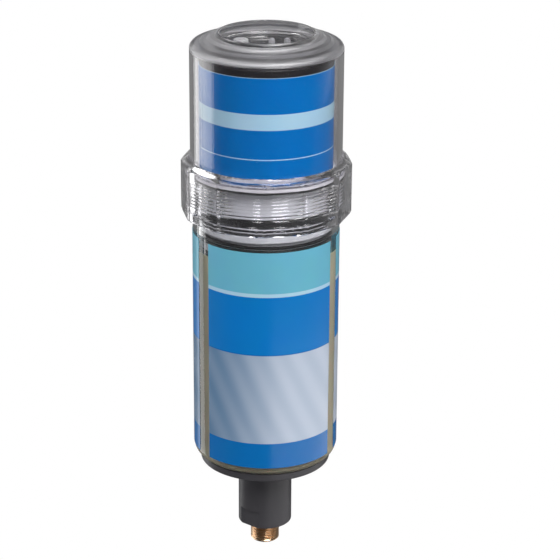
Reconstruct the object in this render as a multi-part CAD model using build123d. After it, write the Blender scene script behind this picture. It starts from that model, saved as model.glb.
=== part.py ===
from build123d import *
import math
import os

# Electromechanical single-point grease lubricator, in millimetres.
# The origin is the centre of the outlet thread where it leaves the neck, and +Z runs up the axis.
# The front of the label faces -Y, and +X is to its right.
# A clear canister of grease stands on a black neck. A battery drive under a clear cover turns a
# spindle, and the spindle screws the piston down the canister.

# Outlet nipple, a turned brass insert with a G 1/4 pipe thread
thread_major_d = 13.157
thread_length = 10.2
tip_chamfer = 0.9
outlet_bore_d = 6.0
shank_step = 1.42
shank_length = 14.0

# Neck and support flange, one black moulding with a sump that takes the piston's boss
neck_wall = 1.95
neck_length = 33.0
neck_edge_round = 0.6
wrench_across_flats = 22.0
wrench_flat_height = 8.3
wrench_flat_angle = -38.0
flange_inset = 3.0
flange_thickness = 3.2
flange_fillet = 1.5
flange_seal_inset = 2.55
sump_gap = 1.3
sump_wall = 2.1
sump_below_spindle = 2.8
sump_cone = 5.0
spigot_gap = 0.1

# Clear grease canister
canister_d = 65.0
canister_wall = 3.0
canister_floor = 3.0
canister_bottom_round = 5.0
canister_inner_round = 3.0
collar_thread_height = 1.7
collar_thread_length = 15.0
collar_thread_below_top = 1.9
collar_top_chamfer = 0.95

# Printed labels on the canister, with a clear strip left at each side to show the grease
label_thickness = 0.12
label_glue = 0.05
label_collar_gap = 8.3
front_label_start_angle = -52.5
front_label_end_angle = 59.6
rear_label_start_angle = 70.9
rear_label_end_angle = 295.4

# Piston with two black sealing rings
piston_stroke = 94.0
piston_end_gap = 3.5
piston_height = 9.4
piston_plate = 2.6
piston_plate_rise = 0.3
piston_skirt = 2.2
piston_clearance = 0.6
piston_boss_wall = 4.0
piston_boss_below = 7.2
piston_boss_above = 5.4
piston_boss_round = 1.0
piston_rib = 1.4
piston_rib_drop = 0.6
piston_rib_root = 0.5
piston_rib_count = 8
seal_height = 2.2
seal_clearance = 0.1
seal_depth = 2.4
seal_lip = 0.8
grease_wall_gap = 0.05
grease_boss_gap = 0.3

# Spindle, the lead screw that drives the piston
spindle_d = 10.0
spindle_below_boss = 5.5
spindle_collar = 1.2
spindle_collar_step = 1.5
spindle_hex_step = 1.05
spindle_hex_rise = 0.3
spindle_end_chamfer = 1.0
washer_thickness = 0.8
washer_rim = 0.5
washer_hole_gap = 0.15

# Drive base, the light grey plug that closes the canister and holds the gears
gasket_thickness = 1.0
base_flange = 1.6
base_flange_step = 0.2
base_clearance = 0.2
base_wall = 2.8
base_upper_wall = 1.3
base_piston_gap = 0.6
base_floor = 4.1
base_corner_round = 0.4
base_bearing_wall = 3.0
base_bearing_drop = 1.2
base_groove_rise = 9.5
base_groove_gap = 0.15
oring_section = 1.7
oring_bore_gap = 0.05
pillar_d = 6.0
pillar_bite = 0.8
pillar_angles = (60.0, 120.0, 200.0, 340.0)

# Gear train: three equal stages of module 0.6
module = 0.6
pressure_angle = 20.0
wheel_teeth = 33
pinion_teeth = 10
profile_shift = 0.42
backlash = 0.06
root_depth = 1.25
face_width = 3.0
face_gap = 0.5
first_layer_rise = 2.2
last_layer_gap = 1.0
web_recess = 0.7
web_rim = 1.8
web_hub = 1.0
hub_wall = 3.05
hub_end_gap = 0.2
socket_clearance = 0.05
socket_end_gap = 0.2
shaft_d = 3.0
pin_d = 2.0
pin_floor = 1.0
running_clearance = 0.05
gear_play = 0.2
gear_plate = 1.5
gear_plate_gap = 0.1
plate_boss_wall = 1.0
screw_d = 2.2
screw_head_step = 1.0
screw_head = 1.2
screw_length = 7.0

# Motor, battery cells and their holder
motor_d = 20.0
motor_length = 25.0
motor_boss_d = 6.0
motor_boss = 1.2
motor_shaft_d = 2.0
motor_shaft_seat = 2.5
motor_shaft_end_gap = 0.5
cell_d = 14.2
cell_length = 50.5
cell_nub_d = 5.4
cell_nub = 1.3
cell_edge_round = 0.8
cell_wall_gap = 0.45
cell_angles = (210.0, 270.0, 330.0)
cell_clearance = 0.15
reversed_cell = 1
holder_floor = 1.0
holder_wall = 1.1
holder_height = 30.0
holder_edge_gap = 0.1
holder_sleeve_drop = 3.0
holder_screw_gap = 0.3
contact_thickness = 0.4
contact_width = 6.0
contact_overlap = 2.4
contact_slot_gap = 0.1
contact_bump_d = 3.0
contact_rise = 1.8

# Drive housing, a black shell that is open over the setting panel
housing_gap = 1.65
housing_wall = 1.8
housing_roof = 2.0
housing_edge = 1.2
window_wall = 1.5
window_drop = 1.2
window_step = 0.2
window_edge = 0.6
spigot_depth = 7.5
spigot_clearance = 0.05
spigot_wall = 1.0
spigot_end_gap = 0.05
spigot_taper_start = 1.0
spigot_taper_end = 2.0
housing_label_gap = 1.5
housing_label_drop = 3.7
housing_label_span = 352.0

# Circuit board with its lamps and its time dial
board_thickness = 1.6
board_edge_gap = 2.4
board_boss_d = 5.0
board_boss_inset = 2.1
board_boss_angles = (30.0, 150.0, 270.0)
led_d = 3.0
led_flange_step = 0.4
led_flange = 1.0
led_height = 4.5
run_lamp_angle = 79.17
run_lamp_window_gap = 5.89
fault_lamp_angle = 51.64
fault_lamp_window_gap = 2.94
dial_angle = 137.93
dial_window_gap = 0.48
dial_body_d = 7.6
dial_body = 2.0
dial_floor = 0.5
dial_head_d = 6.6
dial_head = 2.0
dial_head_chamfer = 0.3
dial_stem_d = 4.0
dial_gap = 0.2
dial_slot = 0.9
dial_slot_length = 4.95
dial_slot_depth = 0.8
dial_slot_turn = 35.0

# Clear protective cover, which rises to its rim in terraces
cover_step = 0.85
cover_wall = 2.5
cover_window = 2.4
cover_foot = 1.6
cover_foot_step = 0.95
cover_housing_gap = 1.6
cover_lamp_gap = 0.5
cover_shoulder_round = 2.5
cover_well_draft = 1.0
cover_well_wall = 0.6
cover_well_root = 1.4
cover_rim_height = 4.4
cover_rim_width = 1.7
cover_rim_wall = 2.88
cover_rim_round = 0.6
cover_rim_inner_round = 0.5
terrace_count = 3
terrace_span = 9.85
terrace_tread = 0.56
terrace_tread_rise = 0.25
inner_riser_width = 0.6
inner_riser_rise = 0.7

# Clear retaining ring with twelve flats
ring_flats = 12
ring_wall = 1.52
ring_corner_angle = -4.0
ring_below_thread = 1.4
ring_lip = 2.6
ring_flat_drop = 1.7
ring_corner_drop = 2.9
ring_thread_gap = 0.3
ring_foot_clearance = 0.5
ring_hole_clearance = 0.3
ring_foot_gap = 0.05
ring_counterbore_rise = 0.4
ring_bottom_chamfer = 0.5
ring_flat_round = 2.0
ring_corner_margin = 0.01

# Sizes of the neck, canister, piston and spindle that follow from the sizes above
piston_boss_d = spindle_d + 2 * piston_boss_wall
sump_d = piston_boss_d + 2 * sump_gap
floor_hole_d = sump_d + 2 * (sump_wall + spigot_gap)
flange_seal_r = floor_hole_d / 2 + flange_seal_inset
neck_d = sump_d + 2 * neck_wall
shank_d = thread_major_d + 2 * shank_step
flange_d = canister_d - 2 * flange_inset
canister_bottom = neck_length + flange_thickness
floor_top = canister_bottom + canister_floor
bore_r = canister_d / 2 - canister_wall
collar_thread_d = canister_d + 2 * collar_thread_height
piston_seat = floor_top + piston_end_gap + piston_stroke
piston_top = piston_seat + piston_height
spindle_tip = floor_top + piston_end_gap - piston_boss_below - spindle_below_boss
sump_bottom = spindle_tip - sump_below_spindle
spindle_hex = spindle_d - 2 * spindle_hex_step
hub_d = spindle_hex + 2 * hub_wall
spindle_collar_d = hub_d + 2 * spindle_collar_step
washer_d = spindle_collar_d + 2 * washer_rim

# Heights of the drive base and its gears, from the piston upwards
base_bottom = piston_top + base_piston_gap
base_floor_top = base_bottom + base_floor
bearing_bottom = base_bottom - base_bearing_drop
layer_step = face_width + face_gap
output_z = base_floor_top + first_layer_rise
second_z = output_z + layer_step
first_z = second_z + layer_step
plate_z = first_z + face_width + last_layer_gap
plate_top = plate_z + gear_plate
base_top = plate_top + spigot_depth
gasket_top = base_top - base_flange
canister_top = gasket_top - gasket_thickness
thread_top = canister_top - collar_thread_below_top
thread_bottom = thread_top - collar_thread_length
label_bottom = canister_bottom + canister_bottom_round
label_top = thread_bottom - collar_thread_height - label_collar_gap
washer_top = bearing_bottom - running_clearance
collar_top = washer_top - washer_thickness - running_clearance
collar_bottom = collar_top - spindle_collar
hub_bottom = bearing_bottom + hub_end_gap
hex_top = output_z + spindle_hex_rise
socket_top = hex_top + socket_end_gap
pin_bottom = base_bottom + pin_floor

# Radii and spots inside the drive base
base_r = bore_r - base_clearance
base_flange_d = collar_thread_d - 2 * base_flange_step
base_bearing_d = hub_d + 2 * base_bearing_wall
base_groove_z = base_bottom + base_groove_rise
base_oring_r = bore_r - oring_bore_gap - oring_section / 2
lower_cavity_r = base_r - base_wall
upper_cavity_r = base_r - base_upper_wall
pillar_circle_r = lower_cavity_r - pillar_d / 2 + pillar_bite
centre_distance = module * (wheel_teeth + pinion_teeth) / 2
motor_spot = (0.0, centre_distance)
idler_spot = (0.0, -centre_distance)
plate_boss_d = pin_d + 2 * plate_boss_wall
screw_head_d = screw_d + 2 * screw_head_step

# Sizes of the drive housing, its contents and the cover
cell_bottom = plate_top + holder_floor + contact_thickness
cell_top = cell_bottom + cell_length
board_bottom = cell_top + contact_rise
board_top = board_bottom + board_thickness
roof_bottom = board_top + window_drop
housing_top = roof_bottom + housing_roof
cover_r = canister_d / 2 + cover_step
cover_bore_r = cover_r - cover_wall
cover_foot_r = cover_r + cover_foot_step
foot_top = base_top + cover_foot
cover_shoulder = housing_top + cover_housing_gap + cover_window
cover_well_floor = board_top + led_height + cover_lamp_gap + cover_window
cover_rim = cover_well_floor + cover_rim_height
housing_r = cover_bore_r - housing_gap
housing_bore_r = housing_r - housing_wall
housing_label_top = housing_top - housing_label_drop
housing_spigot_r = upper_cavity_r - spigot_clearance
housing_spigot_bore_r = housing_spigot_r - spigot_wall
cover_rim_r = cover_r - cover_shoulder_round - terrace_span
cover_well_r = cover_rim_r - cover_rim_width
window_r = cover_well_r + window_step
led_flange_r = led_d / 2 + led_flange_step
board_d = 2 * (housing_bore_r - board_edge_gap)
board_boss_r = board_d / 2 - board_boss_inset
cell_circle_r = housing_spigot_bore_r - cell_d / 2 - cell_wall_gap
run_lamp_r = window_r - led_flange_r - run_lamp_window_gap
fault_lamp_r = window_r - led_flange_r - fault_lamp_window_gap
dial_r = window_r - dial_body_d / 2 - dial_window_gap

# Sizes of the retaining ring
ring_bore_r = collar_thread_d / 2 + ring_thread_gap
ring_counterbore_r = cover_foot_r + ring_foot_clearance
ring_flat_r = ring_counterbore_r + ring_wall
ring_corner_r = ring_flat_r / math.cos(math.pi / ring_flats)
ring_bottom = thread_bottom - ring_below_thread
ring_inner_top = foot_top + ring_lip
ring_flat_top = ring_inner_top - ring_flat_drop
ring_corner_top = ring_inner_top - ring_corner_drop

os.makedirs("parts", exist_ok=True)


def save(shape, node):
    export_step(shape, f"parts/{node}.step")


def tube(outer_r, bottom, top, inner_r=0.0, spot=(0.0, 0.0)):
    """Upright cylinder or tube between two heights."""
    height = top - bottom
    shape = Cylinder(outer_r, height, align=(Align.CENTER, Align.CENTER, Align.MIN))
    if inner_r > 0:
        shape -= Cylinder(inner_r, height, align=(Align.CENTER, Align.CENTER, Align.MIN))
    return Pos(spot[0], spot[1], bottom) * shape


def turned(points, rounds=(), arc=360.0):
    """Solid turned about Z from (radius, height) points, with (radius, height, round) corners."""
    outline = Polygon(*points, align=None)
    for r, z, size in rounds:
        corner = outline.vertices().sort_by_distance((r, z, 0))[0]
        outline = fillet(corner, size)
    return revolve(Plane.XZ * outline, Axis.Z, revolution_arc=arc)


def polar(radius, degrees):
    """Point at a radius and an angle measured anticlockwise from +X."""
    turn = math.radians(degrees)
    return (radius * math.cos(turn), radius * math.sin(turn))


def front_turn(degrees):
    """Angle from +X for a point seen that many degrees right of the front."""
    return degrees - 90.0


# Outlet nipple: threaded outside, knurled shank moulded into the neck
def outlet_nipple():
    thread_r = thread_major_d / 2
    bore_r_out = outlet_bore_d / 2
    profile = [
        (bore_r_out, -thread_length),
        (thread_r - tip_chamfer, -thread_length),
        (thread_r, -thread_length + tip_chamfer),
        (thread_r, 0),
        (shank_d / 2, 0),
        (shank_d / 2, shank_length),
        (bore_r_out, shank_length),
    ]
    return turned(profile)


# Support flange: round plate, neck with two wrench flats and a sump that takes the piston's boss
def support_flange():
    neck_r = neck_d / 2
    spigot_r = floor_hole_d / 2 - spigot_gap
    sump_r = sump_d / 2
    cone_bottom = sump_bottom - sump_cone
    flange_r = flange_d / 2
    profile = [
        (shank_d / 2, 0),
        (neck_r, 0),
        (neck_r, neck_length),
        (flange_r, neck_length),
        (flange_r, canister_bottom),
        (spigot_r, canister_bottom),
        (spigot_r, floor_top),
        (sump_r, floor_top),
        (sump_r, sump_bottom),
        (outlet_bore_d / 2, cone_bottom),
        (outlet_bore_d / 2, shank_length),
        (shank_d / 2, shank_length),
    ]
    rounds = [
        (neck_r, 0, neck_edge_round),
        (neck_r, neck_length, flange_fillet),
        (flange_r, neck_length, neck_edge_round),
    ]
    body = turned(profile, rounds)
    groove_r = oring_section / 2
    groove_bottom = canister_bottom - oring_section
    body -= tube(flange_seal_r + groove_r, groove_bottom, canister_bottom, flange_seal_r - groove_r)
    beside = (Align.MIN, Align.CENTER, Align.MIN)
    for side in (0.0, 180.0):
        turn = front_turn(wrench_flat_angle) + side
        block = Box(neck_d, 2 * neck_d, wrench_flat_height, align=beside)
        body -= Rot(0, 0, turn) * Pos(wrench_across_flats / 2, 0, 0) * block
    return body


def oring(centre_r, centre_z):
    """Rubber ring of round section."""
    return Pos(0, 0, centre_z) * Torus(centre_r, oring_section / 2)


# Canister: deep clear cup with a plain bore, a rounded foot and a threaded collar
def canister():
    outer_r = canister_d / 2
    collar_r = collar_thread_d / 2
    profile = [
        (floor_hole_d / 2, canister_bottom),
        (outer_r, canister_bottom),
        (outer_r, thread_bottom - collar_thread_height),
        (collar_r, thread_bottom),
        (collar_r, thread_top),
        (collar_r - collar_top_chamfer, canister_top),
        (bore_r, canister_top),
        (bore_r, floor_top),
        (floor_hole_d / 2, floor_top),
    ]
    rounds = [
        (outer_r, canister_bottom, canister_bottom_round),
        (bore_r, floor_top, canister_inner_round),
    ]
    return turned(profile, rounds)


def label_panel(start, end):
    """Thin printed panel on the canister between two angles right of the front."""
    inner = canister_d / 2 + label_glue
    outer = inner + label_thickness
    profile = [(inner, label_bottom), (outer, label_bottom), (outer, label_top), (inner, label_top)]
    return Rot(0, 0, front_turn(start)) * turned(profile, arc=end - start)


# Grease column between the canister's floor and the piston
def grease_charge():
    top = piston_seat - seal_clearance
    outer = bore_r - grease_wall_gap
    pocket_r = piston_boss_d / 2 + grease_boss_gap
    pocket_bottom = piston_seat - piston_boss_below - grease_boss_gap
    hole_r = spindle_d / 2 + grease_boss_gap
    profile = [
        (hole_r, floor_top),
        (outer, floor_top),
        (outer, top),
        (pocket_r, top),
        (pocket_r, pocket_bottom),
        (hole_r, pocket_bottom),
    ]
    return turned(profile, [(outer, floor_top, canister_inner_round + grease_wall_gap)])


# Piston: ribbed cup with a long threaded boss, recessed for a sealing ring at each end
def piston():
    body_r = bore_r - piston_clearance
    seat_r = bore_r - seal_clearance - seal_depth
    skirt_r = seat_r - piston_skirt
    hole_r = spindle_d / 2 + running_clearance
    boss_r = piston_boss_d / 2
    web_bottom = piston_seat + piston_plate_rise
    web_top = web_bottom + piston_plate
    boss_bottom = piston_seat - piston_boss_below
    boss_top = piston_seat + piston_boss_above
    lower_land = piston_seat + seal_height
    upper_land = piston_top - seal_height
    profile = [
        (hole_r, boss_bottom),
        (boss_r, boss_bottom),
        (boss_r, web_bottom),
        (seat_r, web_bottom),
        (seat_r, lower_land),
        (body_r, lower_land),
        (body_r, upper_land),
        (seat_r, upper_land),
        (seat_r, piston_top),
        (skirt_r, piston_top),
        (skirt_r, web_top),
        (boss_r, web_top),
        (boss_r, boss_top),
        (hole_r, boss_top),
    ]
    body = turned(profile, [(boss_r, boss_bottom, piston_boss_round)])
    rib_length = skirt_r - boss_r + 2 * piston_rib_root
    rib_height = boss_top - web_top - piston_rib_drop
    rib = Box(rib_length, piston_rib, rib_height, align=(Align.MIN, Align.CENTER, Align.MIN))
    for i in range(piston_rib_count):
        turn = 360.0 * i / piston_rib_count
        body += Rot(0, 0, turn) * Pos(boss_r - piston_rib_root, 0, web_top) * rib
    return body


def piston_seal(bottom, lip_down):
    """Black sealing ring whose lip widens to the bore at one end."""
    seat_r = bore_r - seal_clearance - seal_depth
    lip_r = bore_r - seal_clearance
    body_r = lip_r - seal_lip / 2
    top = bottom + seal_height
    low_r = lip_r if lip_down else body_r
    high_r = body_r if lip_down else lip_r
    middle = bottom + seal_height / 2
    profile = [
        (seat_r, bottom),
        (low_r, bottom),
        (low_r, middle),
        (high_r, middle + seal_lip / 2),
        (high_r, top),
        (seat_r, top),
    ]
    return turned(profile)


# Spindle: lead screw, thrust collar and a hexagon that plugs into the output gear
def spindle():
    screw_r = spindle_d / 2
    rod = turned([
        (0, spindle_tip),
        (screw_r - spindle_end_chamfer, spindle_tip),
        (screw_r, spindle_tip + spindle_end_chamfer),
        (screw_r, collar_bottom),
        (spindle_collar_d / 2, collar_bottom),
        (spindle_collar_d / 2, collar_top),
        (0, collar_top),
    ])
    hexagon = RegularPolygon(spindle_hex / 2, 6, major_radius=False)
    return rod + Pos(0, 0, collar_top) * extrude(hexagon, hex_top - collar_top)


def thrust_washer():
    """Flat ring between the spindle's collar and the drive base."""
    hole_r = spindle_hex / math.sqrt(3) + washer_hole_gap
    return tube(washer_d / 2, washer_top - washer_thickness, washer_top, hole_r)


# Drive base: plug with a sealing groove, gear well, pillars for the gear plate and a top flange
def drive_base():
    bearing_r = base_bearing_d / 2
    hub_hole = hub_d / 2 + running_clearance
    profile = [
        (hub_hole, bearing_bottom),
        (bearing_r, bearing_bottom),
        (bearing_r, base_bottom),
        (base_r, base_bottom),
        (base_r, gasket_top),
        (base_flange_d / 2, gasket_top),
        (base_flange_d / 2, base_top),
        (upper_cavity_r, base_top),
        (upper_cavity_r, plate_z),
        (lower_cavity_r, plate_z),
        (lower_cavity_r, base_floor_top),
        (hub_hole, base_floor_top),
    ]
    body = turned(profile, [(base_r, base_bottom, base_corner_round)])
    groove_half = oring_section / 2 + base_groove_gap
    groove_floor_r = base_oring_r - oring_section / 2
    body -= tube(bore_r, base_groove_z - groove_half, base_groove_z + groove_half, groove_floor_r)
    for spot in pillar_spots():
        body += tube(pillar_d / 2, base_floor_top, plate_z, 0, spot)
        body -= tube(screw_d / 2, plate_top - screw_length, plate_z, 0, spot)
    boss_top = output_z - gear_play
    body += tube(plate_boss_d / 2, base_floor_top, boss_top, 0, idler_spot)
    body -= tube(pin_d / 2, pin_bottom, boss_top, 0, idler_spot)
    return body


def pillar_spots():
    return [polar(pillar_circle_r, angle) for angle in pillar_angles]


def canister_gasket():
    return tube(base_flange_d / 2, canister_top, gasket_top, bore_r)


def involute(angle):
    return math.tan(angle) - angle


def gear_face(teeth, shift):
    """Face of a spur gear with involute flanks, one tooth centred on +X."""
    pitch_r = module * teeth / 2
    alpha = math.radians(pressure_angle)
    base_circle = pitch_r * math.cos(alpha)
    tip_r = pitch_r + module * (1 + shift)
    root_r = pitch_r - module * (root_depth - shift)
    thickness = module * (math.pi / 2 + 2 * shift * math.tan(alpha)) - backlash
    start_r = max(base_circle, root_r)

    def half_angle(r):
        flank = math.acos(min(1.0, base_circle / r))
        return thickness / (2 * pitch_r) + involute(alpha) - involute(flank)

    def at(r, turn):
        return (r * math.cos(turn), r * math.sin(turn))

    middle_r = (start_r + tip_r) / 2
    edges = []
    for i in range(teeth):
        centre = 2 * math.pi * i / teeth
        next_centre = centre + 2 * math.pi / teeth
        low = half_angle(start_r)
        mid = half_angle(middle_r)
        top = half_angle(tip_r)
        if root_r < base_circle:
            edges.append(Line(at(root_r, centre - low), at(start_r, centre - low)))
        low_start = at(start_r, centre - low)
        low_tip = at(tip_r, centre - top)
        high_tip = at(tip_r, centre + top)
        high_start = at(start_r, centre + low)
        edges.append(ThreePointArc(low_start, at(middle_r, centre - mid), low_tip))
        edges.append(Line(low_tip, high_tip))
        edges.append(ThreePointArc(high_tip, at(middle_r, centre + mid), high_start))
        if root_r < base_circle:
            edges.append(Line(at(start_r, centre + low), at(root_r, centre + low)))
        edges.append(Line(at(root_r, centre + low), at(root_r, next_centre - low)))
    return make_face(edges)


def wheel(spot, bottom, turn):
    blank = extrude(gear_face(wheel_teeth, -profile_shift), face_width)
    return Pos(spot[0], spot[1], bottom) * Rot(0, 0, turn) * blank


def pinion(spot, bottom, turn, width):
    blank = extrude(gear_face(pinion_teeth, profile_shift), width)
    return Pos(spot[0], spot[1], bottom) * Rot(0, 0, turn) * blank


def meshed_turn(driver_turn, driver_teeth, direction, teeth):
    """Turn of a gear whose space faces a tooth of its driver, which lies in that direction from it."""
    pitch = 360.0 / driver_teeth
    facing = (driver_turn - (direction + 180.0)) % pitch
    slip = facing * driver_teeth / teeth
    return direction + 180.0 / teeth - slip


# The turns at which all three pairs are in mesh, worked from the output gear back to the motor
output_turn = 0.0
idler_turn = meshed_turn(output_turn, wheel_teeth, 90.0, pinion_teeth)
middle_turn = meshed_turn(idler_turn, wheel_teeth, -90.0, pinion_teeth)
motor_turn = meshed_turn(middle_turn, wheel_teeth, -90.0, pinion_teeth)


def compound_gear(spot, wheel_bottom, turn, bore_d):
    """Moulded wheel with its pinion below, a web recess above and a plain bore."""
    lower = wheel_bottom - layer_step
    body = pinion(spot, lower, turn, layer_step) + wheel(spot, wheel_bottom, turn)
    top = wheel_bottom + face_width
    recess_outer = module * wheel_teeth / 2 - web_rim
    recess_inner = module * pinion_teeth / 2 + web_hub
    body -= tube(recess_outer, top - web_recess, top, recess_inner, spot)
    body -= tube(bore_d / 2 + running_clearance, lower, top, 0, spot)
    return body


# Output gear: wheel on a hub that turns in the base and takes the spindle's hexagon
def output_gear():
    body = wheel((0.0, 0.0), output_z, output_turn)
    body += tube(hub_d / 2, hub_bottom, output_z)
    socket = RegularPolygon(spindle_hex / 2 + socket_clearance, 6, major_radius=False)
    body -= Pos(0, 0, hub_bottom) * extrude(socket, socket_top - hub_bottom)
    body -= tube(shaft_d / 2, socket_top, output_z + face_width)
    return body


def output_shaft():
    return tube(shaft_d / 2, socket_top, plate_top)


def idler_pin():
    return tube(pin_d / 2, pin_bottom, plate_top, 0, idler_spot)


# Gear plate: disc over the gears with bearings for the shafts and a stop boss above the idler
def gear_plate_piece():
    body = tube(upper_cavity_r - gear_plate_gap, plate_z, plate_top)
    body += tube(plate_boss_d / 2, second_z + face_width + gear_play, plate_z, 0, idler_spot)
    body -= tube(pin_d / 2, second_z + face_width, plate_top, 0, idler_spot)
    body -= tube(shaft_d / 2 + running_clearance, plate_z, plate_top)
    body -= tube(motor_boss_d / 2 + running_clearance, plate_z, plate_top, 0, motor_spot)
    for spot in pillar_spots():
        body -= tube(screw_d / 2, plate_z, plate_top, 0, spot)
    return body


def gear_plate_screws():
    """Pan-head screws that hold the gear plate on its pillars."""
    screws = []
    for spot in pillar_spots():
        shank = tube(screw_d / 2, plate_top - screw_length, plate_top, 0, spot)
        head = tube(screw_head_d / 2, plate_top, plate_top + screw_head, 0, spot)
        screws.append(shank + head)
    return Compound(children=screws)


# Motor: steel can with a boss that centres it in the gear plate
def motor():
    body = tube(motor_d / 2, plate_top, plate_top + motor_length, 0, motor_spot)
    body += tube(motor_boss_d / 2, plate_top - motor_boss, plate_top, 0, motor_spot)
    rear_boss = plate_top + motor_length
    body += tube(motor_boss_d / 2, rear_boss, rear_boss + motor_boss, 0, motor_spot)
    shaft_hole = motor_shaft_d / 2 + running_clearance
    hole_top = plate_top + motor_shaft_seat + motor_shaft_end_gap
    return body - tube(shaft_hole, plate_top - motor_boss, hole_top, 0, motor_spot)


def motor_shaft():
    return tube(motor_shaft_d / 2, first_z, plate_top + motor_shaft_seat, 0, motor_spot)


def motor_pinion():
    body = pinion(motor_spot, first_z, motor_turn, face_width)
    return body - tube(motor_shaft_d / 2, first_z, first_z + face_width, 0, motor_spot)


# Battery cells: three upright round cells with their ends turned alternately
def battery_cell(index):
    spot = polar(cell_circle_r, cell_angles[index])
    cell_r = cell_d / 2
    nub_down = index == reversed_cell
    body_bottom = cell_bottom + (cell_nub if nub_down else 0.0)
    body_top = body_bottom + cell_length - cell_nub
    body = turned([
        (0, body_bottom),
        (cell_r, body_bottom),
        (cell_r, body_top),
        (0, body_top),
    ], [(cell_r, body_bottom, cell_edge_round), (cell_r, body_top, cell_edge_round)])
    body = Pos(spot[0], spot[1], 0) * body
    nub_bottom = cell_bottom if nub_down else body_top
    return body + tube(cell_nub_d / 2, nub_bottom, nub_bottom + cell_nub, 0, spot)


def cell_spots():
    return [polar(cell_circle_r, angle) for angle in cell_angles]


# Battery holder: floor with three cradles round the cells and a sleeve round the motor
def battery_holder():
    floor_top_z = plate_top + holder_floor
    wall_top = plate_top + holder_height
    sleeve_top = plate_top + motor_length - holder_sleeve_drop
    cell_pocket_r = cell_d / 2 + cell_clearance
    motor_pocket_r = motor_d / 2 + cell_clearance
    floor_r = housing_spigot_bore_r - holder_edge_gap
    walls = tube(motor_pocket_r + holder_wall, plate_top, sleeve_top, 0, motor_spot)
    for spot in cell_spots():
        walls += tube(cell_pocket_r + holder_wall, plate_top, wall_top, 0, spot)
    body = walls & tube(floor_r, plate_top, wall_top)
    body += tube(floor_r, plate_top, floor_top_z)
    body -= tube(motor_pocket_r, plate_top, wall_top, 0, motor_spot)
    for spot in cell_spots():
        body -= tube(cell_pocket_r, floor_top_z, wall_top, 0, spot)
    for spot in pillar_spots():
        head_room = plate_top + screw_head + holder_screw_gap
        body -= tube(screw_head_d / 2 + holder_screw_gap, plate_top, head_room, 0, spot)
    return body - contact_strip(floor_top_z, cell_bottom + contact_slot_gap, 0, 1)


def contact_strip(bottom, top, first, second):
    """Flat spring-metal strip that joins two neighbouring cells."""
    a = Vector(*cell_spots()[first])
    b = Vector(*cell_spots()[second])
    middle = (a + b) * 0.5
    turn = math.degrees(math.atan2(b.Y - a.Y, b.X - a.X))
    length = (b - a).length + 2 * contact_overlap
    strip = Box(length, contact_width, top - bottom, align=(Align.CENTER, Align.CENTER, Align.MIN))
    return Pos(middle.X, middle.Y, bottom) * Rot(0, 0, turn) * strip


def lower_contact():
    return contact_strip(plate_top + holder_floor, cell_bottom, 0, 1)


def upper_contact():
    """Strip under the board with a bump pressed down on each of its two cells."""
    strip_bottom = board_bottom - contact_thickness
    strip = contact_strip(strip_bottom, board_bottom, 1, 2)
    for spot in cell_spots()[1:]:
        strip += tube(contact_bump_d / 2, cell_top, strip_bottom, 0, spot)
    return strip


# Drive housing: shell with a spigot in the base, a roof and a walled window for the panel
def drive_housing():
    spigot_bottom = plate_top + spigot_end_gap
    profile = [
        (housing_spigot_bore_r, spigot_bottom),
        (housing_spigot_r, spigot_bottom),
        (housing_spigot_r, base_top),
        (housing_r, base_top),
        (housing_r, housing_top),
        (window_r, housing_top),
        (window_r, board_top),
        (window_r + window_wall, board_top),
        (window_r + window_wall, roof_bottom),
        (housing_bore_r, roof_bottom),
        (housing_bore_r, base_top + spigot_taper_end),
        (housing_spigot_bore_r, base_top + spigot_taper_start),
    ]
    rounds = [
        (housing_r, housing_top, housing_edge),
        (window_r, housing_top, window_edge),
    ]
    body = turned(profile, rounds)
    for angle in board_boss_angles:
        spot = polar(board_boss_r, angle)
        body += tube(board_boss_d / 2, board_top, roof_bottom, 0, spot)
    return body


def housing_label():
    """Blue printed band round the housing, with a narrow seam at the back."""
    inner = housing_r + label_glue
    outer = inner + label_thickness
    bottom = base_top + housing_label_gap
    profile = [
        (inner, bottom),
        (outer, bottom),
        (outer, housing_label_top),
        (inner, housing_label_top),
    ]
    start = 90.0 + (360.0 - housing_label_span) / 2
    return Rot(0, 0, start) * turned(profile, arc=housing_label_span)


# Circuit board: round board screwed up against the window wall and three bosses
def circuit_board():
    return tube(board_d / 2, board_bottom, board_top)


def led(spot):
    """Clear round-topped lamp standing on the board."""
    lamp_r = led_d / 2
    dome_z = board_top + led_height - lamp_r
    stem = tube(lamp_r, board_top, dome_z, 0, spot)
    base = tube(led_flange_r, board_top, board_top + led_flange, 0, spot)
    dome = Pos(spot[0], spot[1], dome_z) * Sphere(lamp_r)
    dome &= tube(led_d, dome_z, dome_z + led_d, 0, spot)
    return stem + base + dome


dial_spot = polar(dial_r, dial_angle)


def dial_switch():
    """Round switch body that the time dial turns in."""
    body = tube(dial_body_d / 2, board_top, board_top + dial_body, 0, dial_spot)
    hole = dial_stem_d / 2 + running_clearance
    return body - tube(hole, board_top + dial_floor, board_top + dial_body, 0, dial_spot)


# Time dial: slotted rotor that sets how long the charge lasts
def time_dial():
    head_bottom = board_top + dial_body + dial_gap
    head_top = head_bottom + dial_head
    head = tube(dial_head_d / 2, head_bottom, head_top, 0, dial_spot)
    head = chamfer(head.edges().group_by(Axis.Z)[-1], dial_head_chamfer)
    below = (Align.CENTER, Align.CENTER, Align.MAX)
    slot = Box(dial_slot_length, dial_slot, dial_slot_depth, align=below)
    head -= Pos(dial_spot[0], dial_spot[1], head_top) * Rot(0, 0, dial_slot_turn) * slot
    stem_bottom = board_top + dial_floor + dial_gap
    return head + tube(dial_stem_d / 2, stem_bottom, head_bottom, 0, dial_spot)


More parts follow.
